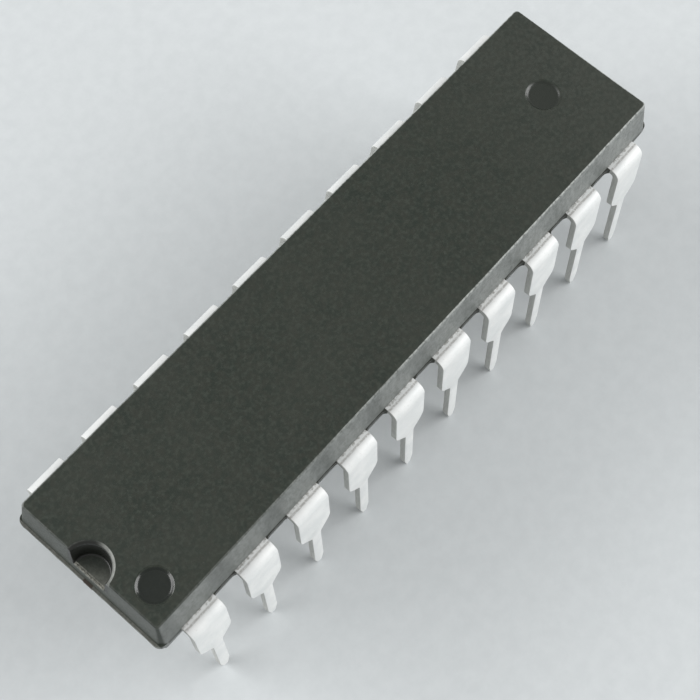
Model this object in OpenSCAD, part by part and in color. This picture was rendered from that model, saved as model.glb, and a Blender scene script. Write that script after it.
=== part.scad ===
// Integrated circuit in a moulded dual in-line package with two rows of ten leads.
// X runs along the body, away from the notched end. Y runs across the rows. Z is up.
// The origin is under the middle of the body, on the plane that the lead tips stand on.

/* [Body] */
// Length of the body between its two drafted ends, at the parting line
body_length = 26.16; // [25.6:0.02:27.4]
// Width of the body at the parting line
body_width = 6.6; // [6.4:0.02:6.8]
// Height of the body, from its underside to its top face
body_height = 3.3; // [3:0.05:3.9]
// Draft of the two long flanks, in degrees
flank_draft = 9.3; // [4:0.1:12]
// Draft of the two ends, in degrees
end_draft = 7.6; // [4:0.1:12]
// Radius of the upright corners at the parting line
corner_radius = 0.3; // [0.1:0.05:0.6]
// Radius of the edges around the top face and the underside
edge_radius = 0.08; // [0.03:0.01:0.15]
// How far the moulding's ridge stands out of each end at the parting line
ridge_depth = 0.1; // [0.02:0.01:0.2]

/* [Notch and moulding marks] */
// Radius of the half-round notch where it meets the top face
notch_radius = 0.9; // [0.8:0.05:1.2]
// Radius of the notch at its floor
notch_floor_radius = 0.7; // [0.5:0.05:0.8]
// Depth of the notch below the top face
notch_depth = 1; // [0.5:0.05:1.3]
// How far the centre of the notch lies in from the end of the body
notch_inset = 0.16; // [0.05:0.01:0.4]
// Radius of the floor of the round ejector mark beside the first lead
mark_radius = 0.52; // [0.4:0.01:0.8]
// Depth of the mark beside the first lead
mark_depth = 0.1; // [0.03:0.01:0.2]
// Centre of that mark, in from the notched end
mark_inset = 1.17; // [1:0.01:2]
// Centre of that mark, out from the middle line
mark_offset = 2.02; // [1.9:0.01:2.2]
// Radius of the floor of the round ejector mark near the plain end
far_mark_radius = 0.53; // [0.4:0.01:0.8]
// Depth of the mark near the plain end
far_mark_depth = 0.06; // [0.03:0.01:0.2]
// Centre of that mark, in from the plain end
far_mark_inset = 2.46; // [1.5:0.01:4]
// Radius of the floors of the two ejector marks on the underside
under_mark_radius = 0.9; // [0.5:0.05:1.2]
// Depth of the marks on the underside
under_mark_depth = 0.06; // [0.03:0.01:0.2]
// Centres of the marks on the underside, in from each end
under_mark_inset = 4.2; // [2:0.1:8]
// Width of the sloping rim around each mark
mark_rim = 0.13; // [0.02:0.01:0.2]

/* [Leads] */
// Distance between neighbouring leads of one row
lead_pitch = 2.54; // [2.5:0.01:2.58]
// Thickness of the sheet that the lead frame is stamped from
lead_thickness = 0.25; // [0.2:0.01:0.3]
// How far a lead's outer face, just below its bend, stands out from the side of the body
lead_stand_out = 0.575; // [0.5:0.005:0.8]
// Inner radius of each bend
bend_radius = 0.15; // [0.1:0.01:0.2]
// How far the leads splay outwards from upright, in degrees
splay = 4; // [0:0.5:10]
// Width of the wide shoulder of a lead
shoulder_width = 1.52; // [1.4:0.01:1.7]
// Length of the shoulder's straight sides below the bend
shoulder_drop = 1.6; // [1.2:0.05:1.9]
// Radius of the shoulder's lower corners
shoulder_round = 0.6; // [0.4:0.05:0.65]
// Angle of the taper from the shoulder to the pin, in degrees from the lead's length
taper_angle = 42; // [36:1:50]
// Radius of the fillet between the taper and the pin
pin_fillet = 0.25; // [0.1:0.05:0.3]
// Width of the narrow pin
pin_width = 0.46; // [0.4:0.01:0.56]
// Height of the lead frame's top face above the lead tips
frame_height = 5.86; // [5.2:0.02:6.4]
// Length of the pointed end of a pin
tip_length = 0.5; // [0.3:0.05:0.8]
// Width of the pin at its very tip
tip_width = 0.2; // [0.1:0.01:0.3]

/* [Lead frame inside the body] */
// How deep the full width of each shoulder runs into the body
root_depth = 0.45; // [0.35:0.01:0.47]
// Width of the inner fingers
finger_width = 0.4; // [0.3:0.01:0.42]
// Gap between a finger and the paddle or a tie bar
finger_gap = 0.25; // [0.2:0.01:0.26]
// How far a finger for the paddle's ends runs straight in from its root before it turns
finger_lead_in = 0.1; // [0.02:0.01:0.2]
// Length of the straight end of a finger beside the paddle
finger_end = 0.2; // [0.15:0.01:0.3]
// Distance between the finger tips along the paddle's long sides
tip_pitch = 1.25; // [1.1:0.05:1.3]
// Length of the paddle that carries the die
paddle_length = 5.2; // [4.6:0.1:5.6]
// How far the top of the paddle lies below the top of the fingers
paddle_drop = 0.3; // [0.27:0.01:0.5]
// Length of the slope that takes each tie bar down to the paddle
tie_slope = 0.6; // [0.4:0.05:1]
// Width of the tie bars that run from the paddle to the ends of the body
tie_width = 0.4; // [0.3:0.01:0.44]

/* [Die and bond wires] */
// Length of the silicon die
die_length = 2.4; // [2.1:0.1:3]
// Width of the silicon die
die_width = 1.8; // [1.5:0.1:2.4]
// Thickness of the silicon die
die_thickness = 0.3; // [0.2:0.01:0.4]
// Thickness of the adhesive under the die
attach_thickness = 0.03; // [0.02:0.01:0.05]
// How far the adhesive spreads past each side of the die
attach_margin = 0.1; // [0.05:0.01:0.2]
// Distance between neighbouring bond pads
pad_pitch = 0.36; // [0.2:0.01:0.38]
// Centres of the bond pads, in from the edges of the die
pad_inset = 0.12; // [0.08:0.01:0.16]
// Diameter of the bond wires
wire_diameter = 0.033; // [0.025:0.001:0.05]
// Diameter of the ball at the die end of each wire
ball_diameter = 0.08; // [0.06:0.005:0.1]
// Height of that ball
ball_height = 0.02; // [0.015:0.001:0.03]
// Height of a wire's loop above the die
loop_height = 0.3; // [0.2:0.01:0.5]
// Length of the flattened foot at the finger end of each wire
foot_length = 0.1; // [0.08:0.01:0.14]
// Width of that foot, as a multiple of the wire's diameter
foot_spread = 1.5; // [1.2:0.1:1.8]
// Centre of that foot, in from the tip of the finger
foot_inset = 0.15; // [0.1:0.01:0.2]
// Share of the span at which the loop starts to fall towards the finger
loop_reach = 0.6; // [0.4:0.05:0.8]

/* [Hidden] */
$fn = 64;
row_count = 10;
half_row = row_count / 2;
lead_count = 2 * row_count;
epoxy = [0.25, 0.26, 0.24];
tin = [0.84, 0.86, 0.85];
copper = [0.72, 0.45, 0.3];
adhesive = [0.6, 0.61, 0.62];
silicon = [0.32, 0.34, 0.4];
gold = [0.9, 0.72, 0.25];
// How far a cut runs past the face that it opens
over = 0.5;

// Heights above the lead tips
frame_low = frame_height - lead_thickness;
body_middle = frame_height - lead_thickness / 2;
body_top = body_middle + body_height / 2;
body_bottom = body_middle - body_height / 2;
notch_floor = body_top - notch_depth;
paddle_top = frame_height - paddle_drop;
attach_top = paddle_top + attach_thickness;
die_top = attach_top + die_thickness;

// Upright part of a lead, from the end of its bend to its tip
bend_outer = bend_radius + lead_thickness;
leg_drop = frame_height - bend_outer * (1 - sin(splay)) - lead_thickness * sin(splay);
leg_length = leg_drop / cos(splay);

// Places in plan, measured from the middle of the body
bend_start = body_width / 2 + lead_stand_out - bend_outer * cos(splay);
root_place = body_width / 2 - root_depth;
ridge_end = body_length / 2 + ridge_depth;

// Straight lanes for the inner fingers, evenly spread from the tie bars out to the roots
lane_count = half_row - 1;
first_lane = (tie_width + finger_width) / 2 + finger_gap;
last_lane = root_place - finger_width / 2;
function lane(n) = first_lane + (n - 1) * (last_lane - first_lane) / (lane_count - 1);
function long_lane(k) = lane(half_row - k);

// The paddle, and the tips of the fingers at its ends and beside it
side_lane = lane(lane_count - 1);
paddle_end = paddle_length / 2;
end_tip = paddle_end + finger_gap;
side_tip = side_lane - finger_end;
paddle_side = side_tip - finger_gap;

// Place of a lead in its row, from 0 to 9, and its rank from 0 beside the middle to 4 at the end
function place(i) = (i - 1) % row_count;
function rank(i) = abs(place(i) - half_row + 0.5) - 0.5;

// A point that is given outwards from the middle of the body, moved to the quarter that holds lead i
function spot(i, p) =
    let (along = place(i) < half_row ? -1 : 1, row = i > row_count ? -1 : 1)
    [row * along * p[0], -row * p[1]];

// Middle line of the inner finger with rank k, from its root to its tip beside the paddle
function finger_line(k) =
    let (
        root = (k + 0.5) * lead_pitch,
        tip = (k + 0.5) * tip_pitch,
        turn = root_place - finger_lead_in
    )
    concat(
        [[root, root_place + root_depth / 2]],
        k > 1 ? [[root, turn], [root - turn + long_lane(k), long_lane(k)], [end_tip, long_lane(k)]] : [],
        k < 2 ? [[root, last_lane]] : [],
        k == 1 ? [[tip + last_lane - side_lane, last_lane]] : [],
        k < 2 ? [[tip, side_lane], [tip, side_tip]] : []
    );

// Outline of a strip of even width along a line, with mitred corners
function unit(v) = v / norm(v);
function left_of(v) = [-v[1], v[0]];
function mitre(line, i) =
    let (
        before = unit(line[max(i, 1)] - line[max(i, 1) - 1]),
        after = unit(line[min(i, len(line) - 2) + 1] - line[min(i, len(line) - 2)]),
        middle = unit(left_of(before) + left_of(after))
    )
    middle / (middle * left_of(before));
function strip(line, width) = concat(
    [for (i = [0:len(line) - 1]) line[i] + mitre(line, i) * width / 2],
    [for (i = [len(line) - 1:-1:0]) line[i] - mitre(line, i) * width / 2]
);

// Centre of the bond pad on the die, and of the wire's foot on the finger, for rank k
function pad(k) = k < 3
    ? [(k + 0.5) * pad_pitch, die_width / 2 - pad_inset]
    : [die_length / 2 - pad_inset, (half_row - 0.5 - k) * pad_pitch];
function foot(k) = k < 2
    ? [(k + 0.5) * tip_pitch, side_tip + foot_inset]
    : [end_tip + foot_inset, long_lane(k)];

// Section of the body across one pair of drafted sides: straight over the lead frame's thickness,
// then drawn in towards the top face and the underside, with rounded edges
module drafted_section(half, draft) {
    rise = (body_height - lead_thickness) / 2;
    top_half = half - rise * tan(draft);
    cut = edge_radius * tan((90 - draft) / 2);
    side = [half, lead_thickness / 2];
    below = [top_half + cut * sin(draft), body_height / 2 - cut * cos(draft)];
    beside = [top_half - cut, body_height / 2];
    polygon([
        side, below, beside,
        [-beside[0], beside[1]], [-below[0], below[1]], [-side[0], side[1]],
        -side, -below, -beside,
        [beside[0], -beside[1]], [below[0], -below[1]], [side[0], -side[1]]
    ]);
    for (x = [-1, 1], z = [-1, 1])
        translate([x * beside[0], z * (body_height / 2 - edge_radius)])
            circle(edge_radius);
}

// Plan of the body at the parting line, with round corners
module plan(length, width) {
    square([length - 2 * corner_radius, width], center = true);
    square([length, width - 2 * corner_radius], center = true);
    for (x = [-1, 1], y = [-1, 1])
        translate([x * (length / 2 - corner_radius), y * (width / 2 - corner_radius)])
            circle(corner_radius);
}

// Half-round notch that marks the end with the first lead, open towards that end
module notch() {
    slope = (notch_radius - notch_floor_radius) / notch_depth;
    height = notch_depth + over;
    mouth = notch_floor_radius + slope * height;
    translate([-body_length / 2 + notch_inset, 0, notch_floor]) {
        cylinder(h = height, r1 = notch_floor_radius, r2 = mouth);
        rotate([90, 0, -90])
            linear_extrude(notch_inset + ridge_depth + over)
                polygon([
                    [-notch_floor_radius, 0], [notch_floor_radius, 0],
                    [mouth, height], [-mouth, height]
                ]);
    }
}

// Round sunk mark of an ejector pin, with a sloping rim; its mouth is at height zero
module ejector_mark(radius, depth) {
    translate([0, 0, -depth])
        cylinder(h = depth, r1 = radius, r2 = radius + mark_rim);
    cylinder(h = over, r = radius + mark_rim);
}

// Outline of the upright part of a lead, hanging down from the end of its bend
module leg_outline() {
    wide = shoulder_width / 2;
    narrow = pin_width / 2;
    drawn_in = 1 - cos(taper_angle);
    rounds = shoulder_round + pin_fillet;
    slant = (wide - narrow - rounds * drawn_in) / sin(taper_angle);
    fillet_drop = shoulder_drop + rounds * sin(taper_angle) + slant * cos(taper_angle);
    taper_start = [wide - shoulder_round * drawn_in, -shoulder_drop - shoulder_round * sin(taper_angle)];
    taper_end = [narrow + pin_fillet * drawn_in, -fillet_drop + pin_fillet * sin(taper_angle)];
    half = [
        [wide, 0], [wide, -shoulder_drop], taper_start, taper_end, [narrow, -fillet_drop],
        [narrow, -leg_length + tip_length], [tip_width / 2, -leg_length]
    ];
    difference() {
        union() {
            polygon(concat(half, [for (i = [len(half) - 1:-1:0]) [-half[i][0], half[i][1]]]));
            for (x = [-1, 1])
                translate([x * (wide - shoulder_round), -shoulder_drop])
                    circle(shoulder_round);
        }
        for (x = [-1, 1])
            translate([x * (narrow + pin_fillet), -fillet_drop])
                circle(pin_fillet);
    }
}

// Flat part of lead i: its inner finger, its root in the body and the shoulder up to the bend
module lead_flat(i) {
    middle = (rank(i) + 0.5) * lead_pitch;
    near = middle - shoulder_width / 2;
    far = middle + shoulder_width / 2;
    root = [[near, root_place], [far, root_place], [far, bend_start], [near, bend_start]];
    translate([0, 0, frame_low])
        linear_extrude(lead_thickness) {
            polygon([for (p = strip(finger_line(rank(i)), finger_width)) spot(i, p)]);
            polygon([for (p = root) spot(i, p)]);
        }
}

// Bend and upright leg of a lead of the first row, around the axis of the bend
module lead_outside() {
    translate([-shoulder_width / 2, 0, 0])
        rotate([0, 90, 0])
            rotate([0, 0, 180])
                rotate_extrude(angle = 90 - splay)
                    translate([bend_radius, 0])
                        square([lead_thickness, shoulder_width]);
    rotate([-splay, 0, 0])
        translate([0, -bend_outer, 0])
            rotate([90, 0, 0])
                translate([0, 0, -lead_thickness])
                    linear_extrude(lead_thickness)
                        leg_outline();
}

// Each lead is one stamped and formed piece of tin-plated copper alloy
module lead(i) {
    along = spot(i, [(rank(i) + 0.5) * lead_pitch, 0])[0];
    color(tin) {
        lead_flat(i);
        translate([along, 0, frame_height - bend_outer])
            rotate([0, 0, i > row_count ? 180 : 0])
                translate([0, -bend_start, 0])
                    lead_outside();
    }
}

// The paddle and its two tie bars are one stamped piece of the lead frame, set down below the fingers
module die_paddle() {
    slope_start = paddle_end + finger_gap;
    slope_end = slope_start + tie_slope;
    upper = [
        [ridge_end, frame_height], [slope_end, frame_height], [slope_start, paddle_top],
        [-slope_start, paddle_top], [-slope_end, frame_height], [-ridge_end, frame_height]
    ];
    color(copper) {
        translate([0, tie_width / 2, 0])
            rotate([90, 0, 0])
                linear_extrude(tie_width)
                    polygon(concat(upper, [for (i = [len(upper) - 1:-1:0]) upper[i] - [0, lead_thickness]]));
        translate([-paddle_end, -paddle_side, paddle_top - lead_thickness])
            cube([paddle_length, 2 * paddle_side, lead_thickness]);
    }
}

// Cured layer of silver-filled adhesive that holds the die on the paddle
module die_attach() {
    size = [die_length + 2 * attach_margin, die_width + 2 * attach_margin, attach_thickness];
    color(adhesive)
        translate([-size[0] / 2, -size[1] / 2, paddle_top])
            cube(size);
}

// Silicon die
module die() {
    color(silicon)
        translate([-die_length / 2, -die_width / 2, attach_top])
            cube([die_length, die_width, die_thickness]);
}

// Each bond wire is one piece: a ball on its pad, a loop, and a flattened foot on the finger of lead i.
// A ring is its place along the span, its height, its reach along the span and in height, and across.
wire_sides = 6;
wire_steps = 8;
function curve(t, a, b, c, d) =
    pow(1 - t, 3) * a + 3 * t * pow(1 - t, 2) * b + 3 * t * t * (1 - t) * c + pow(t, 3) * d;
function curve_slope(t, a, b, c, d) =
    3 * pow(1 - t, 2) * (b - a) + 6 * t * (1 - t) * (c - b) + 3 * t * t * (d - c);
function wire_rings(span) =
    let (
        start = [0, die_top + ball_height],
        rise = [0, die_top + loop_height],
        fall = [loop_reach * span, die_top + loop_height],
        landing = [span, frame_height],
        ball = ball_diameter / 2,
        wire = wire_diameter / 2
    )
    concat(
        [[0, die_top, ball, 0, ball], [0, start[1], ball, 0, ball], [0, start[1], wire, 0, wire]],
        [for (n = [1:wire_steps - 1])
            let (
                t = n / wire_steps,
                at = curve(t, start, rise, fall, landing),
                slope = unit(curve_slope(t, start, rise, fall, landing))
            )
            [at[0], at[1], slope[1] * wire, -slope[0] * wire, wire]],
        [[span, frame_height, -foot_length / 2, 0, foot_spread * wire]]
    );
module bond_wire(i) {
    from = spot(i, pad(rank(i)));
    way = spot(i, foot(rank(i))) - from;
    ahead = unit(way);
    rings = wire_rings(norm(way));
    last = len(rings) - 1;
    points = [for (ring = rings, n = [0:wire_sides - 1])
        let (
            turn = 360 * (n + 0.5) / wire_sides,
            along = ring[0] + ring[2] * sin(turn),
            across = ring[4] * cos(turn)
        )
        [
            from[0] + ahead[0] * along + ahead[1] * across,
            from[1] + ahead[1] * along - ahead[0] * across,
            ring[1] + ring[3] * sin(turn)
        ]];
    walls = [for (r = [0:last - 1], n = [0:wire_sides - 1])
        let (next = (n + 1) % wire_sides)
        [
            r * wire_sides + n, (r + 1) * wire_sides + n,
            (r + 1) * wire_sides + next, r * wire_sides + next
        ]];
    ends = [
        [for (n = [0:wire_sides - 1]) n],
        [for (n = [wire_sides - 1:-1:0]) last * wire_sides + n]
    ];
    color(gold)
        polyhedron(points, concat(walls, ends));
}

// One epoxy moulding, cast around the lead frame, the die and the wires, which it fills in between
module body() {
    color(epoxy)
        difference() {
            union() {
                intersection() {
                    translate([-body_length, 0, body_middle])
                        rotate([90, 0, 90])
                            linear_extrude(2 * body_length)
                                drafted_section(body_width / 2, flank_draft);
                    translate([0, body_width, body_middle])
                        rotate([90, 0, 0])
                            linear_extrude(2 * body_width)
                                drafted_section(body_length / 2, end_draft);
                    translate([0, 0, body_bottom])
                        linear_extrude(body_height)
                            plan(body_length, body_width);
                }
                translate([0, 0, frame_low])
                    linear_extrude(lead_thickness)
                        plan(2 * ridge_end, body_width);
            }
            notch();
            translate([-body_length / 2 + mark_inset, -mark_offset, body_top])
                ejector_mark(mark_radius, mark_depth);
            translate([body_length / 2 - far_mark_inset, 0, body_top])
                ejector_mark(far_mark_radius, far_mark_depth);
            for (end = [-1, 1])
                translate([end * (body_length / 2 - under_mark_inset), 0, body_bottom])
                    rotate([180, 0, 0])
                        ejector_mark(under_mark_radius, under_mark_depth);
            for (i = [1:lead_count]) {
                lead_flat(i);
                bond_wire(i);
            }
            die_paddle();
            die_attach();
            die();
        }
}

body();
for (i = [1:lead_count]) lead(i);
die_paddle();
die_attach();
die();
for (i = [1:lead_count]) bond_wire(i);
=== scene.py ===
import math

import bmesh
import bpy
from mathutils import Matrix, Vector, noise


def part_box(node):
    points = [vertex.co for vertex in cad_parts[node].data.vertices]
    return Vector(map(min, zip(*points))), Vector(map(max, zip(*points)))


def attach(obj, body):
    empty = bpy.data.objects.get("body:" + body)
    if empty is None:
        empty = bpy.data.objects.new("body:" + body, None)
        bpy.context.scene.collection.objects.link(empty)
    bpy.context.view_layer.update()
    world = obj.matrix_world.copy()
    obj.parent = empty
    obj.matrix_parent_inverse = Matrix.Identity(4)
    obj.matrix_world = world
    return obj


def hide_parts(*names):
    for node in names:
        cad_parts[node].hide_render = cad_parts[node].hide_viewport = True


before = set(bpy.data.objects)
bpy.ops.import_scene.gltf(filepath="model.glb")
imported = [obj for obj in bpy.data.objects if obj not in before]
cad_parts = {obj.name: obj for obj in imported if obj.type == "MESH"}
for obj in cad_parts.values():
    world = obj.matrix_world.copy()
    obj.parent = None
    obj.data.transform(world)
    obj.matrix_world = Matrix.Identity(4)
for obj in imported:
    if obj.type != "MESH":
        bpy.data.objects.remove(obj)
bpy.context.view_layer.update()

# Camera
# It looks down on the chip from beyond its notched corner, and is rolled a little to the left. The
# focal length is given in pixels of the picture, which is as wide as it is high.
mm = 0.001
camera_azimuth = math.radians(-53.6)
camera_elevation = math.radians(67.8)
camera_roll = math.radians(5.03)
camera_distance = 52.6 * mm
camera_target = Vector((-1.19, -0.98, 5.86)) * mm
focal_pixels = 1503.4
picture_pixels = 700

level = Vector((math.cos(camera_azimuth), math.sin(camera_azimuth), 0))
camera_back = Vector((
    math.sin(camera_azimuth) * math.cos(camera_elevation),
    -math.cos(camera_azimuth) * math.cos(camera_elevation),
    math.sin(camera_elevation),
))
camera_right = Matrix.Rotation(camera_roll, 3, camera_back) @ level
camera_axes = Matrix((camera_right, camera_back.cross(camera_right), camera_back)).transposed()
camera = bpy.data.objects.new("camera", bpy.data.cameras.new("camera"))
camera.matrix_world = Matrix.LocRotScale(camera_target + camera_back * camera_distance, camera_axes, None)
camera.data.lens = camera.data.sensor_width * focal_pixels / picture_pixels
camera.data.clip_start = 1 * mm
camera.data.clip_end = 5
bpy.context.scene.collection.objects.link(camera)
bpy.context.scene.camera = camera


# Moulded body
# One block of black epoxy moulding compound, cast around the lead frame in a mould of two tapered
# halves. Its ejector pins leave round marks, and a half-round notch marks the end with the first lead.
body_low, body_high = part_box("body")
flank_draft = math.radians(9.3)
end_draft = math.radians(7.6)
edge_radius = 0.08 * mm
ridge_depth = 0.1 * mm
band_half = 0.125 * mm
lead_pitch = 2.54 * mm
corner_low = 0.3 * mm
corner_high = 0.14 * mm
flank_rises = [0.4 * mm, 0.8 * mm, 1.2 * mm]
flash_lip = 0.02 * mm
flash_depth = 0.035 * mm
flash_grain = 0.16 * mm
flash_corner = 0.13 * mm
flash_reach = 0.1 * mm
flash_change = 0.3 * mm
flash_mean = 0.55
flash_spread = 0.9
flash_stops = (0.004, 0.05, 0.1, 0.16, 0.22, 0.3, 0.4, 0.5, 0.58, 0.68, 0.78, 0.85, 0.9, 0.95, 0.996)
flash_seed = 4.7
corner_seed = 9.1
ridge_seed = 3.3
ridge_wear = 0.03 * mm
ridge_grain = 0.35 * mm
ridge_stops = 11
ridge_from = 0.4 * mm
body_middle = (body_low.z + body_high.z) / 2
body_rise = body_high.z - body_middle
body_side = body_high.y
body_end = body_high.x - ridge_depth
ridge_run = body_side - 0.95 * mm
touching = 1e-7
hair = 0.001 * mm
flat_angle = math.radians(0.1)
sharp_angle = math.radians(32)


def loft(name, rings):
    """A closed mesh object through rings with the same number of points, with a flat face at each end"""
    made = bmesh.new()
    rows = [[made.verts.new(point) for point in ring] for ring in rings]
    for below, above in zip(rows, rows[1:]):
        for n in range(len(below)):
            m = (n + 1) % len(below)
            made.faces.new((below[n], below[m], above[m], above[n]))
    made.faces.new(reversed(rows[0]))
    made.faces.new(rows[-1])
    bmesh.ops.remove_doubles(made, verts=made.verts, dist=touching)
    bmesh.ops.recalc_face_normals(made, faces=made.faces)
    mesh = bpy.data.meshes.new(name)
    made.to_mesh(mesh)
    made.free()
    piece = bpy.data.objects.new(name, mesh)
    bpy.context.scene.collection.objects.link(piece)
    return piece


def whole_mesh(node):
    """A copy of a solid's mesh, with its corners joined and its flat faces whole"""
    made = bmesh.new()
    made.from_mesh(node.data)
    bmesh.ops.remove_doubles(made, verts=made.verts, dist=touching)
    bmesh.ops.dissolve_limit(made, angle_limit=flat_angle, verts=made.verts, edges=made.edges)
    return made


def cavity_of(node):
    """The walls of the spaces that the body leaves for what it encloses, from the body's own solid"""
    walls = whole_mesh(node)
    for end in (-body_end, body_end):
        everything = walls.verts[:] + walls.edges[:] + walls.faces[:]
        bmesh.ops.bisect_plane(
            walls, geom=everything, plane_co=(end, 0, 0), plane_no=(1, 0, 0), dist=touching,
        )

    def on_skin(vertex):
        return abs(vertex.co.y) > body_side - touching or abs(vertex.co.x) > body_end - touching

    heart = Vector((0, 0, body_middle))
    waiting = [min(walls.faces, key=lambda face: (face.calc_center_median() - heart).length)]
    inner = set(waiting)
    while waiting:
        for edge in waiting.pop().edges:
            if all(on_skin(vertex) for vertex in edge.verts):
                continue
            found = [face for face in edge.link_faces if face not in inner]
            inner.update(found)
            waiting.extend(found)
    outer = [face for face in walls.faces if face not in inner]
    bmesh.ops.delete(walls, geom=outer, context="FACES")
    return walls


def side_at(rise, half, draft):
    """Distance of a drafted side from the middle plane, at a height above the middle of the band"""
    top = half - (body_rise - band_half) * math.tan(draft)
    cut = edge_radius * math.tan((math.pi / 2 - draft) / 2)
    if rise < body_rise - cut * math.cos(draft):
        return half - max(rise - band_half, 0) * math.tan(draft)
    return top - cut + math.sqrt(max(edge_radius**2 - (rise - body_rise + edge_radius) ** 2, 0))


def plan(long_half, wide_half, corner, stops, reach):
    """Points around the body seen from above, anticlockwise from the flank of the first lead"""
    points = []
    for turn in range(4):
        along, across = (long_half, wide_half) if turn % 2 == 0 else (wide_half, long_half)
        side = [Vector((stop, -across)) for stop in stops[turn % 2]]
        if turn % 2:
            # The cut ends of the tie bars lie at the root of the ridge
            for n in tie_stops:
                side[n].y += reach
        for step in range(corner_steps + 1):
            angle = math.pi / 2 * step / corner_steps
            side.append(Vector((
                along - corner + corner * math.sin(angle),
                -across + corner - corner * math.cos(angle),
            )))
        points += [Matrix.Rotation(turn * math.pi / 2, 2) @ point for point in side]
    return points


corner_steps = 8
edge_steps = 6
cavity = cavity_of(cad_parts["body"])
slot_edges = sorted({
    round(vertex.co.x, 7) for vertex in cavity.verts if vertex.co.y < -body_side + touching
})
tie_edges = sorted({
    round(vertex.co.y, 7) for vertex in cavity.verts if vertex.co.x > body_end - touching
})
flank_stops = list(slot_edges)
for gap_start, gap_end in zip(slot_edges[1::2], slot_edges[2::2]):
    flank_stops += [gap_start + (gap_end - gap_start) * share for share in flash_stops]
far_stops = [ridge_from + ridge_run * n / ridge_stops for n in range(ridge_stops + 1)]
end_stops = sorted(tie_edges * 2 + far_stops + [-stop for stop in far_stops])
stops = (sorted(flank_stops), end_stops)
tie_stops = {end_stops.index(tie_edges[0]) + 1, end_stops.index(tie_edges[1])}


def flash_at(x):
    """How far the resin flash between two leads stands out of the band, most in the corners by the leads"""
    gaps = zip(slot_edges[1::2], slot_edges[2::2])
    gap = next((pair for pair in gaps if pair[0] + touching < x < pair[1] - touching), None)
    if not gap:
        return 0
    ragged = 0.5 + 0.5 * noise.noise(Vector((x / flash_grain, 0, flash_seed)))
    corners = sum(
        math.exp(-abs(x - edge) / flash_reach)
        * (flash_mean + flash_spread * noise.noise(Vector((edge / flash_change, 0, corner_seed))))
        for edge in gap
    )
    return flash_depth * ragged + flash_corner * max(corners, 0)


def body_ring(rise, sign, reach=0, flash=False):
    """One ring of the body at a height above or below the middle of the band"""
    share = max(rise - band_half, 0) / (body_rise - band_half)
    corner = corner_low + (corner_high - corner_low) * share
    long_half = side_at(rise, body_end, end_draft) + reach
    wide_half = side_at(rise, body_side, flank_draft)
    ring = []
    for x, y in plan(long_half, wide_half, corner, stops, reach):
        proud = flash_at(x * math.copysign(1, -y)) if flash and abs(y) > body_side - touching else 0
        worn = 0
        if flash and abs(x) > body_end + touching and abs(y) < body_side - corner:
            worn = ridge_wear * abs(noise.noise(Vector((y / ridge_grain, x, sign * ridge_seed))))
        ring.append(Vector((
            x - math.copysign(worn, x), y + math.copysign(proud, y), body_middle + sign * rise,
        )))
    return ring


rises = [band_half + flash_lip] + flank_rises
for step in range(edge_steps + 1):
    angle = flank_draft + (math.pi / 2 - flank_draft) * step / edge_steps
    rises.append(body_rise - edge_radius + edge_radius * math.sin(angle))
rings = [body_ring(rise, -1) for rise in reversed(rises)]
rings += [body_ring(band_half, -1), body_ring(band_half, -1, ridge_depth, True)]
rings += [body_ring(band_half, 1, ridge_depth, True), body_ring(band_half, 1)]
rings += [body_ring(rise, 1) for rise in rises]
body = loft("moulded_body", rings)


def combine(piece, other, operation):
    """Joins the other shape to the piece or cuts it out, and removes the other"""
    modifier = piece.modifiers.new("combine", "BOOLEAN")
    modifier.operation = operation
    modifier.solver = "MANIFOLD"
    modifier.object = other
    made = bpy.data.meshes.new_from_object(piece.evaluated_get(bpy.context.evaluated_depsgraph_get()))
    piece.modifiers.remove(modifier)
    piece.data = made
    bpy.data.objects.remove(other)


round_steps = 72
slope_steps = 10
mark_ease = 0.6
above = 0.4 * mm


def mark_cutter(x, y, radius, depth, rim, side):
    """An ejector pin's round mark: a flat floor, and a slope that runs out smoothly into the face"""
    face = body_middle + side * body_rise
    ease = mark_ease * rim
    levels = []
    for n in range(slope_steps + 1):
        out = (rim + ease) * n / slope_steps
        lower = max(ease - out, 0) ** 2 / (2 * ease)
        upper = max(out - rim, 0) ** 2 / (2 * ease)
        share = (out - ease / 2 + lower - upper) / rim
        levels.append((radius + out - ease / 2, -depth + (depth + hair) * share))
    levels.append((levels[-1][0], above))
    rings = []
    for r, z in levels:
        turns = [2 * math.pi * n / round_steps for n in range(round_steps)]
        rings.append([Vector((x + r * math.cos(a), y + r * math.sin(a), face + side * z)) for a in turns])
    return loft("mark_cutter", rings)


mark_rim = 0.13 * mm
# Each mark's place, radius, depth, side of the body, and how much glossier its slope is
marks = [
    (-body_end + 1.17 * mm, -2.02 * mm, 0.52 * mm, 0.092 * mm, 1, 0.23),
    (body_end - 2.46 * mm, 0, 0.53 * mm, 0.083 * mm, 1, 0.15),
    (-body_end + 4.2 * mm, 0, 0.9 * mm, 0.06 * mm, -1, 0.08),
    (body_end - 4.2 * mm, 0, 0.9 * mm, 0.06 * mm, -1, 0.08),
]
for x, y, radius, depth, side, _ in marks:
    combine(body, mark_cutter(x, y, radius, depth, mark_rim, side), "DIFFERENCE")

notch_inset = 0.16 * mm
notch_depth = 1 * mm
notch_radius = 0.8 * mm
notch_floor_radius = 0.7 * mm
notch_fillet = 0.08 * mm
fillet_steps = 4
notch_rim = 0.16 * mm
notch_rim_step = 0.025 * mm
notch_rim_slopes = (75, 60, 45, 45, 45, 45, 30, 18, 8)
notch_lip = 0.04 * mm
lip_stops = (1, 0.6, 0.3, 0.1, 0)
notch_reach = 1 * mm
notch_centre = -body_end + notch_inset
notch_floor = body_high.z - notch_depth


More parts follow.
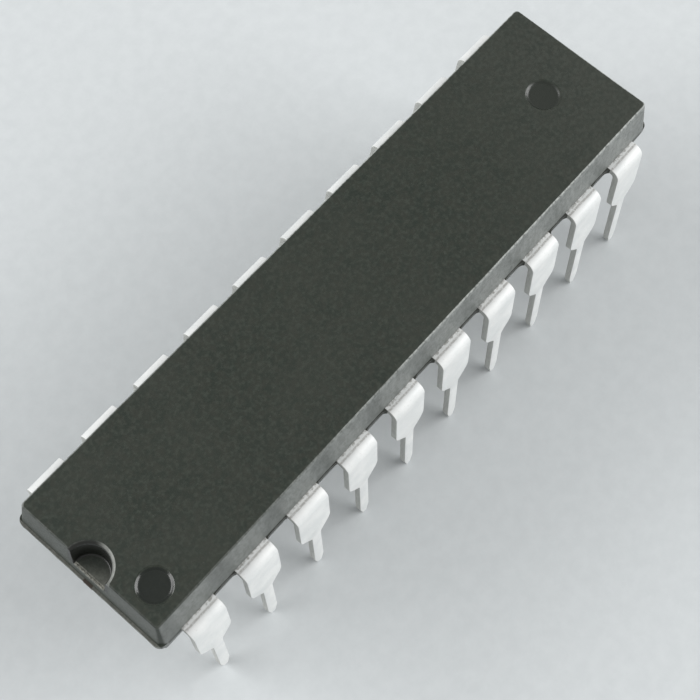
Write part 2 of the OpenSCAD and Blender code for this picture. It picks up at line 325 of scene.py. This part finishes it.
def notch_ring(radius, z):
    """The notch at one height: half a circle, and two sides that run out of the end and flare at its face"""
    face = -side_at(z - body_middle, body_end, end_draft)
    turns = [math.pi * n / round_steps - math.pi / 2 for n in range(round_steps + 1)]
    points = [(notch_centre + radius * math.cos(a), radius * math.sin(a)) for a in turns]
    for share in lip_stops:
        inside = notch_lip * share
        flare = notch_lip - math.sqrt(notch_lip**2 - (notch_lip - inside) ** 2)
        points.append((min(face + inside, notch_centre - touching), radius + flare))
    points.append((face - notch_reach, radius + notch_lip))
    mirrored = [(x, -y) for x, y in reversed(points[round_steps + 1:])]
    return [Vector((x, y, z)) for x, y in points + mirrored]


slope = (notch_radius - notch_floor_radius) / (body_high.z - notch_floor)
notch_levels = []
for step in range(fillet_steps + 1):
    angle = math.pi / 2 * step / fillet_steps
    rise = notch_fillet * (1 - math.cos(angle))
    inset = notch_fillet * (1 - math.sin(angle))
    notch_levels.append((notch_floor_radius - inset + slope * rise, notch_floor + rise))
rim_drop = sum(notch_rim_step * math.sin(math.radians(angle)) for angle in notch_rim_slopes)
notch_levels.append((notch_radius - slope * rim_drop, body_high.z + hair - rim_drop))
for angle in notch_rim_slopes:
    r, z = notch_levels[-1]
    angle = math.radians(angle)
    notch_levels.append((r + notch_rim_step * math.cos(angle), z + notch_rim_step * math.sin(angle)))
notch_levels.append((notch_levels[-1][0], body_high.z + above))
combine(body, loft("notch_cutter", [notch_ring(radius, z) for radius, z in notch_levels]), "DIFFERENCE")

gate_half = 0.66 * mm
gate_width = 0.06 * mm
gate_height = 0.05 * mm
gate_out = 0.035 * mm
gate_drop = 0.01 * mm
gate_grain = 0.07 * mm
gate_swirl = 1.3
gate_mean = 0.6
gate_spread = 0.7
gate_least = 0.05
gate_taper = 6
gate_end = 0.01
gate_steps = 48
gate_corners = 8
gate_x = -side_at(notch_floor - body_middle, body_end, end_draft)
gate_rings = []
for step in range(gate_steps + 1):
    y = gate_half * (2 * step / gate_steps - 1)
    fade = min(1, gate_taper * (1 - abs(y) / gate_half)) + gate_end
    ring = []
    for n in range(gate_corners):
        angle = 2 * math.pi * n / gate_corners
        spot = Vector((y / gate_grain, gate_swirl * math.cos(angle), gate_swirl * math.sin(angle)))
        spread = fade * max(gate_mean + gate_spread * noise.noise(spot), gate_least)
        ring.append(Vector((
            gate_x + gate_out + gate_width * spread * math.cos(angle), y,
            notch_floor - gate_drop + gate_height * spread * math.sin(angle),
        )))
    gate_rings.append(ring)
combine(body, loft("gate_break", gate_rings), "UNION")


def is_slot(face):
    """Whether a face of the band is the mouth of a space that holds a lead or a tie bar"""
    middle = face.calc_center_median()
    if abs(middle.z - body_middle) > band_half / 2:
        return False
    if abs(middle.x) > body_end - touching:
        return abs(middle.y) < tie_edges[1] / 2
    pairs = zip(slot_edges[::2], slot_edges[1::2])
    return abs(middle.y) > body_side - touching and any(a < middle.x < b for a, b in pairs)


def write_mesh(made, piece):
    """Writes the mesh into the piece, smooth between its sharp edges"""
    for edge in made.edges:
        edge.smooth = edge.is_manifold and edge.calc_face_angle() < sharp_angle
    for face in made.faces:
        face.smooth = True
        face.material_index = 0
    made.to_mesh(piece.data)
    made.free()
    piece.modifiers.new("even_shading", "WEIGHTED_NORMAL").keep_sharp = True


def paint(piece, material):
    """Gives the whole piece one material"""
    piece.data.materials.clear()
    piece.data.materials.append(material)


skin = bmesh.new()
skin.from_mesh(body.data)
bmesh.ops.delete(skin, geom=[face for face in skin.faces if is_slot(face)], context="FACES_ONLY")
walls = bpy.data.meshes.new("walls")
cavity.to_mesh(walls)
cavity.free()
skin.from_mesh(walls)
bmesh.ops.remove_doubles(skin, verts=skin.verts, dist=touching)
write_mesh(skin, body)


class Socket:
    """An output of a node, which takes part in sums"""

    def __init__(self, nodes, output):
        self.nodes = nodes
        self.output = output

    def maths(self, operation, *others):
        return self.nodes.add("ShaderNodeMath", {"operation": operation}, dict(enumerate((self, *others))))

    def __add__(self, other):
        return self.maths("ADD", other)

    def __mul__(self, other):
        return self.maths("MULTIPLY", other)

    def __sub__(self, other):
        return self.maths("SUBTRACT", other)

    def __rsub__(self, other):
        return self.nodes.add("ShaderNodeMath", {"operation": "SUBTRACT"}, {0: other, 1: self})

    def __truediv__(self, other):
        return self.maths("DIVIDE", other)

    def __pow__(self, other):
        return self.maths("POWER", other)

    def __gt__(self, other):
        return self.maths("GREATER_THAN", other)

    def __lt__(self, other):
        return self.maths("LESS_THAN", other)

    def __abs__(self):
        return self.maths("ABSOLUTE")

    __radd__ = __add__
    __rmul__ = __mul__

    def least(self, other):
        return self.maths("MINIMUM", other)

    def most(self, other):
        return self.maths("MAXIMUM", other)

    def fade(self, start, end, low=0.0, high=1.0):
        """Goes smoothly from low to high as this value goes from start to end"""
        settings = {"interpolation_type": "SMOOTHSTEP"}
        values = {"Value": self, "From Min": start, "From Max": end, "To Min": low, "To Max": high}
        return self.nodes.add("ShaderNodeMapRange", settings, values)


class Nodes:
    """A tree of nodes, with one method that adds a node"""

    def __init__(self, tree):
        self.tree = tree

    def add(self, kind, settings=None, inputs=None, output=0):
        node = self.tree.nodes.new(kind)
        for name, value in (settings or {}).items():
            setattr(node, name, value)
        for name, value in (inputs or {}).items():
            if isinstance(value, Socket):
                self.tree.links.new(value.output, node.inputs[name])
            else:
                node.inputs[name].default_value = value
        return Socket(self, node.outputs[output])

    def split(self, vector):
        first = self.add("ShaderNodeSeparateXYZ", inputs={0: vector})
        return [Socket(self, output) for output in first.output.node.outputs]

    def place(self):
        """Object coordinates as a vector, in metres"""
        return self.add("ShaderNodeTexCoord", output="Object")

    def normal(self):
        """The surface's own direction, in the object's axes"""
        return self.add("ShaderNodeTexCoord", output="Normal")

    def stretched(self, vector, x, y, z):
        return self.add("ShaderNodeVectorMath", {"operation": "MULTIPLY"}, {0: vector, 1: (x, y, z)})

    def noise(self, vector, size, detail, roughness=0.5):
        """Soft random blotches of about this size, from 0 to 1"""
        return self.add("ShaderNodeTexNoise", inputs={
            "Vector": vector, "Scale": 1 / size, "Detail": detail, "Roughness": roughness,
        })

    def colour(self, share, first, second):
        """Goes from the first colour to the second as share goes from 0 to 1"""
        return self.add("ShaderNodeMix", {"data_type": "RGBA"}, {0: share, 6: first, 7: second}, 2)

    def bump(self, height, distance, strength):
        values = {"Height": height, "Distance": distance, "Strength": strength}
        return self.add("ShaderNodeBump", inputs=values)


def finish(name, **values):
    """A material with its Principled shader, and the tree that its surface is worked out in"""
    material = bpy.data.materials.new(name)
    material.use_nodes = True
    shader = material.node_tree.nodes["Principled BSDF"]
    for socket, value in values.items():
        shader.inputs[socket.replace("_", " ")].default_value = value
    return material, Nodes(material.node_tree), shader


def drive(nodes, shader, **values):
    """Links what varies over the surface to the shader"""
    for socket, value in values.items():
        nodes.tree.links.new(value.output, shader.inputs[socket.replace("_", " ")])


# Some of these colours are painted light and shade, as noted where they are used
resin_brown = (0.0145, 0.0188, 0.0115, 1)
resin_green = (0.0068, 0.0138, 0.0076, 1)
resin_mottle = (0.0325, 0.0415, 0.0305, 1)
resin_cloud = (0.026, 0.031, 0.022, 1)
resin_far_painted_light = (0.037, 0.043, 0.034, 1)
filler_pale = (0.11, 0.11, 0.1, 1)
flank_painted_sheen = (0.135, 0.144, 0.137, 1)
flank_painted_lead_reflection = (0.2, 0.212, 0.203, 1)
flank_far_painted_light = (0.3, 0.315, 0.305, 1)
flank_rubbed_highlight = (0.34, 0.36, 0.35, 1)
end_scuffed_sheen = (0.056, 0.063, 0.054, 1)
ridge_scuffed_lit = (0.17, 0.175, 0.155, 1)
pin_shade_near = (0.001, 0.004, 0.0015, 1)
pin_shade_far = (0.012, 0.016, 0.011, 1)
notch_painted_shade = (0.007, 0.008, 0.006, 1)
notch_floor_painted_light = (0.125, 0.13, 0.11, 1)
notch_rim_painted_highlight = (0.25, 0.26, 0.24, 1)
edge_rubbed_highlight = (0.42, 0.44, 0.42, 1)
band_resin = (0.038, 0.04, 0.034, 1)
gate_grey = (0.26, 0.26, 0.225, 1)
gate_painted_glint = (0.45, 0.44, 0.38, 1)
highlight_x = 0.77
highlight_y = -0.64
open_slant = 0.6
skin_depth = 0.005 * mm

epoxy, nodes, shader = finish("moulding_compound")
place = nodes.place()
x, y, z = nodes.split(place)
face_x, face_y, face_z = nodes.split(nodes.normal())
steep = abs(face_z)
clouds = nodes.noise(place, 2.2 * mm, 3)
mottle = nodes.noise(place, 0.16 * mm, 3, 0.6)
tint = nodes.noise(nodes.stretched(place, 1.0, 1.0, 2.0), 0.27 * mm, 2, 0.6)
filler = nodes.noise(place, 0.06 * mm, 2, 0.6)
grain = nodes.noise(place, 0.035 * mm, 2, 0.6)

# Where the marks, the notch, the ridge, the gate's break and the band are, from 0 to 1
pin_faces = 0
pin_floors = 0
pin_slopes = 0
for mark_x, mark_y, radius, _, side, polish in marks:
    away = ((x - mark_x) ** 2 + (y - mark_y) ** 2) ** 0.5
    inside = (away < radius + mark_rim * 1.1) * ((z - body_middle) * side > 0)
    pin_faces = inside + pin_faces
    pin_floors = inside * away.fade(radius + 0.9 * mark_rim, radius + 0.4 * mark_rim) + pin_floors
    pin_slopes = inside * (away > radius) * polish + pin_slopes
from_notch = ((x - notch_centre) ** 2 + y**2) ** 0.5
notch_faces = from_notch.fade(notch_radius + notch_rim, notch_radius + 0.3 * notch_rim)
notch_faces = notch_faces * (z > notch_floor + skin_depth)
notch_base = (from_notch < notch_radius) * (abs(z - notch_floor) < 0.015 * mm)
# Painted highlight: one side of the notch's rim is painted bright, as if a lamp shone on it
facing = ((x - notch_centre) * highlight_x + y * highlight_y) / from_notch
rim_out = from_notch - notch_radius
notch_rim_highlight = rim_out.fade(0, 0.3 * notch_rim) * rim_out.fade(1.1 * notch_rim, 0.8 * notch_rim)
notch_rim_highlight = notch_rim_highlight * facing.fade(0.4, 0.9) * (z > body_high.z - notch_rim)
notch_rim_highlight = notch_rim_highlight * steep.fade(0.999, 0.96) * mottle.fade(0.3, 0.6, 0.7, 1.0)
smooth = (pin_faces + notch_faces).least(1)
ridge = (abs(x) > body_end + 0.002 * mm) * (abs(z - body_middle) < band_half + skin_depth)
gate = abs(z - notch_floor).fade(0.09 * mm, 0.03 * mm) * (abs(y) < gate_half) * (x < gate_x + 0.11 * mm)
band = abs(z - body_middle).fade(band_half + flash_lip, band_half) * (abs(x) < body_end - corner_low)

# The resin's own mottle first, then the scuffs and wear that lie over it, and painted light: sheen on the
# sides, light towards the far end, shade in the marks and the notch, and highlights on edges and rims
tone = nodes.colour(tint.fade(0.35, 0.65), resin_brown, resin_green)
tone = nodes.colour(mottle.fade(0.42, 0.72) * 0.7, tone, resin_mottle)
tone = nodes.colour(clouds.fade(0.3, 0.7) * 0.35, tone, resin_cloud)
# Painted light: the top face is painted lighter towards the far end, in blotches
far_light_share = x.fade(0.45 * body_end, body_end) * mottle.fade(0.3, 0.65, 0.2, 0.5)
tone = nodes.colour(far_light_share, tone, resin_far_painted_light)
tone = nodes.colour(filler.fade(0.66, 0.82) * 0.5, tone, filler_pale)
drag = nodes.noise(nodes.stretched(place, 1.0, 1.0, 0.3), 0.2 * mm, 4, 0.6)
square = abs(face_x).most(abs(face_y)).fade(0.8, 0.96)
# The side faces are scuffed, and also painted lighter as a painted sheen, the flanks much more than the ends
sides_scuffed_and_sheen = (steep.fade(0.4, 0.2) * (1 - smooth) * square).most(ridge)
# Painted reflection: the flank is painted lighter above each lead, as if the bright leads shone on it
from_lead = abs((x / lead_pitch).maths("FRACT") - 0.5) * lead_pitch
flank_with_sheen = nodes.colour(from_lead.fade(1.15 * mm, 0.5 * mm), flank_painted_sheen, flank_painted_lead_reflection)
# Painted light: the flank is painted lighter towards the far end
flank_with_sheen = nodes.colour(x.fade(-body_end, body_end, 0.0, 0.6), flank_with_sheen, flank_far_painted_light)
# The flank's top edge is rubbed lighter and also carries a painted highlight, more towards the far end and
# on the +y half
handled_and_lit = x.fade(-body_end, 0.3 * body_end, 0.08, 1.0).most(y.fade(0.3 * mm, 1.2 * mm, 0.0, 0.5))
below_edge = z.fade(body_high.z - 0.3 * mm, body_high.z - 0.06 * mm) * mottle.fade(0.3, 0.6)
flank_with_sheen = nodes.colour(below_edge * handled_and_lit * 0.6, flank_with_sheen, flank_rubbed_highlight)
# Scuffs with painted sheen on the sides: the ends a little lighter than the top, the flanks much lighter
scuff_and_sheen = nodes.colour(abs(face_y).fade(0.5, 0.9), end_scuffed_sheen, flank_with_sheen)
# The ridge is scuffed flash, painted lighter as well to lift the shade on its ledge
scuff_and_sheen = nodes.colour(ridge, scuff_and_sheen, ridge_scuffed_lit)
scuff_and_sheen_share = drag.fade(0.2, 0.75, 0.65, 1.0) * filler.fade(0.2, 0.6, 0.6, 1.0)
scuff_and_sheen_share = scuff_and_sheen_share * mottle.fade(0.3, 0.6, 0.75, 1.0)
tone = nodes.colour(sides_scuffed_and_sheen * scuff_and_sheen_share, tone, scuff_and_sheen)
# Painted shade: the marks' floors are painted dark, darkest at the near end
pin_floor_shade = nodes.colour(x.fade(-body_end, body_end), pin_shade_near, pin_shade_far)
tone = nodes.colour(pin_floors * 0.9, tone, pin_floor_shade)
# Painted shade: the notch's walls are painted nearly black
tone = nodes.colour(notch_faces * 0.95, tone, notch_painted_shade)
# Painted light and shade: the notch's floor is painted lighter towards its open side and dark by its wall
open_side_light = (notch_centre - x - y * open_slant).fade(-0.55 * mm, 0.35 * mm)
open_side_light = open_side_light * mottle.fade(0.3, 0.65, 0.55, 1.0)
tone = nodes.colour(notch_base * open_side_light, tone, notch_floor_painted_light)
# Painted highlight on one side of the notch's rim
tone = nodes.colour(notch_rim_highlight, tone, notch_rim_painted_highlight)
# The rounded edges are rubbed lighter and also carry a painted highlight, more towards the far end and on
# the flanks
edge_wear_and_highlight = steep.fade(0.2, 0.45) * steep.fade(0.99, 0.9) * (1 - smooth)
rubbed_and_highlit = mottle.fade(0.3, 0.6, 0.3, 1.0) * handled_and_lit
rubbed_and_highlit = rubbed_and_highlit * (clouds.fade(0.4, 0.62, 0.1, 0.7) + abs(face_y)).least(1)
tone = nodes.colour(edge_wear_and_highlight * rubbed_and_highlit, tone, edge_rubbed_highlight)
tone = nodes.colour(band * 0.75, tone, band_resin)
gate_share = gate * filler.fade(0.3, 0.6, 0.35, 1.0) * mottle.fade(0.3, 0.55, 0.4, 1.0)
tone = nodes.colour(gate_share, tone, gate_grey)
# Painted glints on the gate's break
tone = nodes.colour(gate * mottle.fade(0.62, 0.72) * 0.8, tone, gate_painted_glint)
gloss = smooth * 0.1 + pin_slopes + notch_faces * 0.1 + sides_scuffed_and_sheen * 0.14
rough = filler.fade(0.3, 0.7, 0.5, 0.6) + band * 0.15 - gloss
relief = (grain * 0.5 + filler * 0.5) * (1 - smooth)
drive(nodes, shader, Base_Color=tone, Roughness=rough, Normal=nodes.bump(relief, 0.014 * mm, 0.7))
paint(body, epoxy)
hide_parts("body")
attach(body, "root")


# Leads
# Stamped from copper alloy strip, bent down beside the body and plated with matte tin. The shoulder stops
# on the circuit board, the pin goes through it, and a flat finger runs on inside the body to the die.
lead_count = 20
row_count = 10
root_cut = 0.05 * mm
bend_radius = 0.15 * mm
lead_stand_out = 0.575 * mm
splay = math.radians(4)
taper_angle = math.radians(42)
section_points = 24
station_count = 150
last_run = station_count - 3
swell_size = 0.8 * mm
frame_top = body_middle + band_half
sheet = 2 * band_half

formed = Nodes(bpy.data.node_groups.new("formed_lead", "GeometryNodeTree"))
formed.tree.interface.new_socket("Geometry", in_out="OUTPUT", socket_type="NodeSocketGeometry")
lead_sizes = {
    "Shoulder half width": 0.76 * mm,
    "Shoulder length": 1.6 * mm,
    "Shoulder corner": 0.6 * mm,
    "Pin half width": 0.23 * mm,
    "Pin fillet": 0.25 * mm,
    "Tip length": 0.5 * mm,
    "Tip half width": 0.1 * mm,
    "Sheared edge": 0.025 * mm,
    "Unevenness": 0.004 * mm,
    "Seed": 0.0,
    "Along": 0.0,
    "Turn": 0.0,
}
for name, value in lead_sizes.items():
    added = formed.tree.interface.new_socket(name, in_out="INPUT", socket_type="NodeSocketFloat")
    added.default_value = value
given = formed.tree.nodes.new("NodeGroupInput")
size = {name: Socket(formed, given.outputs[name]) for name in lead_sizes}

bend_outer = bend_radius + sheet
bend_turn = math.pi / 2 - splay
bend_line = bend_radius + band_half
bend_start = body_side + lead_stand_out - bend_outer * math.cos(splay)
root_run = bend_start - (body_side - root_cut)
leg_length = (frame_top - bend_outer * (1 - math.sin(splay)) - sheet * math.sin(splay)) / math.cos(splay)
leg_from = root_run + bend_line * bend_turn
end_chamfer = 0.03 * mm
station_step = (leg_from + leg_length - end_chamfer) / last_run

# A grid is rolled into a closed tube, with stations along the lead and points around its section
blank = formed.add("GeometryNodeMeshGrid", inputs={
    "Size X": 1.0, "Size Y": 1.0, "Vertices X": station_count, "Vertices Y": section_points + 1,
})
along, around, _ = formed.split(formed.add("GeometryNodeInputPosition"))
station = ((along + 0.5) * (station_count - 1)).maths("ROUND")
chamfered = station > last_run + 0.5
closed = station > last_run + 1.5
run = station.least(last_run) * station_step + chamfered * end_chamfer
drop = (run - leg_from).most(0)

# Half the lead's width on the way down: shoulder, rounded corner, taper, fillet, pin and tip
round_drop = size["Shoulder corner"] * math.sin(taper_angle)
rounds = size["Shoulder corner"] + size["Pin fillet"]
slant = size["Shoulder half width"] - size["Pin half width"] - rounds * (1 - math.cos(taper_angle))
pin_start = size["Shoulder length"] + rounds * math.sin(taper_angle) + slant / math.tan(taper_angle)
past = (drop - size["Shoulder length"]).most(0).least(round_drop)
shoulder = (size["Shoulder corner"] ** 2 - past**2) ** 0.5
shoulder = shoulder - size["Shoulder corner"] + size["Shoulder half width"]
taper = (drop - size["Shoulder length"] - round_drop).most(0) * math.tan(taper_angle)
short = (pin_start - drop).most(0).least(size["Pin fillet"] * math.sin(taper_angle))
pin = size["Pin half width"] + size["Pin fillet"] - (size["Pin fillet"] ** 2 - short**2) ** 0.5
point = (leg_length - drop).most(0) / size["Tip length"] * (size["Pin half width"] - size["Tip half width"])
half_width = (shoulder - taper).most(pin).least(point + size["Tip half width"])

# The section, square at its joint with the inner finger and softened at the edges outside the body
angle = (around + 0.5) * (2 * math.pi) + math.pi / section_points
softness = size["Sheared edge"] * (run / root_cut).least(1)
left_right = angle.maths("COSINE")
in_out = angle.maths("SINE")
kept = 1 - closed
inset = chamfered * end_chamfer
across = (left_right.maths("SIGN") * (half_width - softness - inset) + left_right * softness) * kept
through = (in_out.maths("SIGN") * (band_half - softness - inset) + in_out * softness) * kept
swell = formed.add("ShaderNodeTexNoise", {"noise_dimensions": "4D"}, {
    "Vector": formed.add("ShaderNodeCombineXYZ", inputs={0: across, 1: run, 2: 0.0}),
    "W": size["Seed"], "Scale": 1 / swell_size, "Detail": 1.0,
})
through = through + (swell - 0.5) * size["Unevenness"] * (run / root_cut - 1).most(0).least(1)
# The strip runs out of the body, turns down in the bend and leans outwards below it
bent = ((run - root_run) / bend_line).most(0).least(bend_turn)
outward = run.least(root_run) + bent.maths("SINE") * (through + bend_line) + drop * math.cos(bend_turn)
upward = bent.maths("COSINE") * (through + bend_line) - drop * math.sin(bend_turn)
formed_at = formed.add("ShaderNodeCombineXYZ", inputs={
    0: across,
    1: -1 * (outward + (body_side - root_cut)),
    2: upward + (body_middle - bend_line),
})
moved = formed.add("GeometryNodeSetPosition", inputs={"Geometry": blank, "Position": formed_at})
merged = formed.add("GeometryNodeMergeByDistance", inputs={"Geometry": moved, "Distance": touching})
turned = formed.add("GeometryNodeTransform", inputs={
    "Geometry": merged,
    "Translation": formed.add("ShaderNodeCombineXYZ", inputs={0: size["Along"]}),
    "Rotation": formed.add("ShaderNodeCombineXYZ", inputs={2: size["Turn"]}),
})

tin_grey = (0.75, 0.77, 0.765, 1)
tin_bright = (0.84, 0.85, 0.84, 1)
tin_speck = (0.5, 0.5, 0.48, 1)
crease_grey = (0.38, 0.37, 0.35, 1)
residue_brown = (0.19, 0.185, 0.16, 1)
cut_shade_dark = (0.42, 0.43, 0.41, 1)
cut_shade_pale = (0.66, 0.67, 0.64, 1)

tin, nodes, shader = finish("tin_plate")
place = nodes.place()
x, y, z = nodes.split(place)
cut = abs(nodes.split(nodes.normal())[0]).fade(0.45, 0.8)
rolled = nodes.noise(nodes.stretched(place, 1.0, 0.25, 0.12), 0.03 * mm, 3, 0.6)
clouds = nodes.noise(place, 0.7 * mm, 3)
specks = nodes.noise(place, 0.06 * mm, 2, 0.7)
silver = nodes.colour(clouds.fade(0.3, 0.7), tin_grey, tin_bright)
silver = nodes.colour(specks.fade(0.58, 0.8) * 0.5, silver, tin_speck)
from_crease = abs(abs(y) - bend_start + (clouds - 0.5) * 0.06 * mm)
crease = from_crease.fade(0.07 * mm, 0.01 * mm) * (z > frame_top - 0.03 * mm) * specks.fade(0.25, 0.55)
silver = nodes.colour(crease * 0.75, silver, crease_grey)
clumps = nodes.noise(place, 0.15 * mm, 4, 0.65)
residue = (abs(y) - body_side + (clumps - 0.48) * 0.5 * mm).fade(0.09 * mm, -0.02 * mm)
silver = nodes.colour(residue * 0.7, silver, residue_brown)
sheared = nodes.noise(nodes.stretched(place, 1.0, 1.0, 0.15), 0.05 * mm, 2)
# The sheared sides keep their own grain and are painted darker as painted shade
silver = nodes.colour(cut, silver, nodes.colour(sheared, cut_shade_dark, cut_shade_pale))
rough = clouds.fade(0.3, 0.7, 0.52, 0.62) + crease * 0.2 - cut * 0.05
height = rolled * 0.5 + specks * 0.3 - crease * 0.6
drive(
    nodes, shader, Base_Color=silver, Roughness=rough, Metallic=clouds.fade(0.2, 0.8, 0.15, 0.25),
    Normal=nodes.bump(height, 0.006 * mm, 0.5),
)

solid = formed.add("GeometryNodeRealizeInstances", inputs={0: turned})
painted = formed.add("GeometryNodeSetMaterial", inputs={"Geometry": solid, "Material": tin})
formed.tree.links.new(painted.output, formed.tree.nodes.new("NodeGroupOutput").inputs[0])
inputs = {item.name: item.identifier for item in formed.tree.interface.items_tree if item.in_out == "INPUT"}

for number in range(1, lead_count + 1):
    name = f"lead_{number}"
    second_row = number > row_count
    place_in_row = (number - 1) % row_count
    offset = (place_in_row - (row_count - 1) / 2) * lead_pitch
    made = bpy.data.objects.new(f"formed_{name}", bpy.data.meshes.new("blank"))
    bpy.context.scene.collection.objects.link(made)
    modifier = made.modifiers.new("formed", "NODES")
    modifier.node_group = formed.tree
    modifier[inputs["Seed"]] = float(number)
    modifier[inputs["Along"]] = -offset if second_row else offset
    modifier[inputs["Turn"]] = math.pi if second_row else 0.0
    made.data = bpy.data.meshes.new_from_object(made.evaluated_get(bpy.context.evaluated_depsgraph_get()))
    made.modifiers.remove(modifier)

    whole = whole_mesh(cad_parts[name])
    outwards = Vector((0, 1 if second_row else -1, 0))
    bmesh.ops.bisect_plane(
        whole, geom=whole.verts[:] + whole.edges[:] + whole.faces[:],
        plane_co=outwards * (body_side - root_cut), plane_no=outwards, clear_outer=True,
    )
    whole.from_mesh(made.data)
    bmesh.ops.remove_doubles(whole, verts=whole.verts, dist=hair)
    bmesh.ops.recalc_face_normals(whole, faces=whole.faces)
    write_mesh(whole, made)
    paint(made, tin)
    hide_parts(name)
    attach(made, "root")


# Die paddle
# The plate that carries the die is stamped from the same copper alloy strip as the leads. Its two tie
# bars held it in the strip, and their cut ends show in the ends of the body, dull and tarnished.
copper_deep = (0.72, 0.4, 0.25, 1)
copper_light = (0.82, 0.5, 0.33, 1)
tarnish_brown = (0.045, 0.042, 0.036, 1)

copper, nodes, shader = finish("copper_alloy")
place = nodes.place()
x, y, z = nodes.split(place)
grain = nodes.noise(nodes.stretched(place, 0.1, 1.0, 1.0), 0.04 * mm, 3)
blotches = nodes.noise(place, 0.5 * mm, 2)
tone = nodes.colour(grain.fade(0.3, 0.7), copper_deep, copper_light)
tarnish = (blotches.fade(0.5, 0.75) * 0.3 + abs(x).fade(body_end - 0.1 * mm, body_end)).least(1)
tone = nodes.colour(tarnish * 0.97, tone, tarnish_brown)
drive(
    nodes, shader, Base_Color=tone, Roughness=grain.fade(0.3, 0.7, 0.35, 0.5) + tarnish * 0.25,
    Metallic=1 - tarnish * 0.6, Normal=nodes.bump(grain, 0.004 * mm, 0.5),
)
paint(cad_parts["die_paddle"], copper)


# Die adhesive
# A thin grey layer of silver-filled epoxy, cured between the die and its paddle, with a narrow margin
# squeezed out around the die.
adhesive_grey = (0.3, 0.3, 0.29, 1)
flake_silver = (0.6, 0.6, 0.58, 1)

adhesive, nodes, shader = finish("silver_filled_adhesive")
flakes = nodes.noise(nodes.place(), 0.02 * mm, 2, 0.7)
drive(
    nodes, shader, Base_Color=nodes.colour(flakes.fade(0.35, 0.7), adhesive_grey, flake_silver),
    Roughness=flakes.fade(0.3, 0.7, 0.6, 0.4), Metallic=flakes.fade(0.4, 0.7, 0.2, 0.7),
    Normal=nodes.bump(flakes, 0.004 * mm, 0.5),
)
paint(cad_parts["die_attach"], adhesive)


# Die
# A sawn block of silicon. Its face is covered with fine circuits, which show as a grid of blocks, with a
# bare saw lane all round. The sawn sides are dull grey.
die_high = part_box("die")[1]
cell_size = 0.18 * mm
block_size = 0.5 * mm
line_size = 0.2 * mm
saw_lane = 0.05 * mm
circuit_violet = (0.2, 0.16, 0.24, 1)
circuit_green = (0.35, 0.42, 0.4, 1)
circuit_gold = (0.5, 0.42, 0.3, 1)
sawn_dark = (0.22, 0.22, 0.23, 1)
sawn_pale = (0.32, 0.32, 0.33, 1)

silicon, nodes, shader = finish("silicon")
place = nodes.place()
x, y, z = nodes.split(place)
squares = {"distance": "CHEBYCHEV"}
cells = nodes.add("ShaderNodeTexVoronoi", squares, {"Vector": place, "Scale": 1 / cell_size})
blocks = nodes.add("ShaderNodeTexVoronoi", squares, {"Vector": place, "Scale": 1 / block_size})
lines = nodes.add("ShaderNodeTexWave", inputs={"Vector": place, "Scale": 1 / line_size, "Distortion": 2.0})
inner = (abs(x) < die_high.x - saw_lane) * (abs(y) < die_high.y - saw_lane) * (z > die_high.z - skin_depth)
circuit = nodes.colour(cells.fade(0.0, 0.5), circuit_violet, circuit_green)
circuit = nodes.colour(blocks.fade(0.0, 0.5) * 0.5, circuit, circuit_gold)
saw = nodes.noise(nodes.stretched(place, 1.0, 1.0, 0.1), 0.01 * mm, 2)
tone = nodes.colour(inner, nodes.colour(saw, sawn_dark, sawn_pale), circuit)
drive(
    nodes, shader, Base_Color=tone, Roughness=0.55 - inner * 0.3 + saw * 0.1, Metallic=0.4 + inner * 0.2,
    Normal=nodes.bump(lines * inner + saw * (1 - inner), 0.002 * mm, 0.4),
)
paint(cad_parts["die"], silicon)


# Bond wires
# One fine gold wire runs from each pad of the die to its lead. The first end is melted to a ball and the
# other is pressed flat.
gold_deep = (0.85, 0.58, 0.2, 1)
gold_light = (0.95, 0.7, 0.3, 1)

gold, nodes, shader = finish("drawn_gold")
drawn = nodes.noise(nodes.place(), 0.01 * mm, 2)
drive(
    nodes, shader, Base_Color=nodes.colour(drawn, gold_deep, gold_light),
    Roughness=drawn.fade(0.3, 0.7, 0.18, 0.3), Metallic=drawn.fade(0, 1, 0.95, 1.0),
    Normal=nodes.bump(drawn, 0.0006 * mm, 0.4),
)
for number in range(1, lead_count + 1):
    paint(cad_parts[f"bond_wire_{number}"], gold)


# Floor and light
# The chip stands on a plain pale sheet. Two soft lamps light it from the picture's right and left, as on
# a copy stand, and the room adds an even light.
floor_half = 2
floor_thickness = 0.01
sheet_grey = (0.6, 0.63, 0.64, 1)
sheet_pale = (0.64, 0.67, 0.68, 1)
lamp_elevation = math.radians(28)
lamp_distance = 0.6
lamp_width = 0.6
lamp_height = 0.25
room_light = (0.55, 0.55, 0.55, 1)

floor_corners = [(floor_half * x, floor_half * y) for x, y in ((-1, -1), (1, -1), (1, 1), (-1, 1))]
floor = loft("floor", [[Vector((x, y, z)) for x, y in floor_corners] for z in (-floor_thickness, 0)])
pale, nodes, shader = finish("pale_sheet", Roughness=0.9, Specular_IOR_Level=0.2)
paper = nodes.noise(nodes.place(), 0.6 * mm, 4, 0.6)
sheet_tone = nodes.colour(paper.fade(0.2, 0.8), sheet_grey, sheet_pale)
drive(nodes, shader, Base_Color=sheet_tone)
paint(floor, pale)


def lamp(name, azimuth, strength):
    """A wide soft lamp that faces the chip; strength 1 lights a surface that faces it fully"""
    direction = Vector((
        math.cos(azimuth) * math.cos(lamp_elevation),
        math.sin(azimuth) * math.cos(lamp_elevation),
        math.sin(lamp_elevation),
    ))
    light = bpy.data.lights.new(name, "AREA")
    light.shape = "RECTANGLE"
    light.size = lamp_width
    light.size_y = lamp_height
    light.energy = strength * (math.pi * lamp_distance) ** 2
    holder = bpy.data.objects.new(name, light)
    holder.matrix_world = Matrix.LocRotScale(
        direction * lamp_distance, direction.to_track_quat("Z", "Y"), None
    )
    bpy.context.scene.collection.objects.link(holder)


lamp("lamp_right", math.radians(-42), 0.77)
lamp("lamp_left", math.radians(127), 0.74)

world = bpy.data.worlds.new("room")
world.use_nodes = True
bpy.context.scene.world = world
world.node_tree.nodes["Background"].inputs["Color"].default_value = room_light

bpy.context.scene.view_settings.view_transform = "Standard"
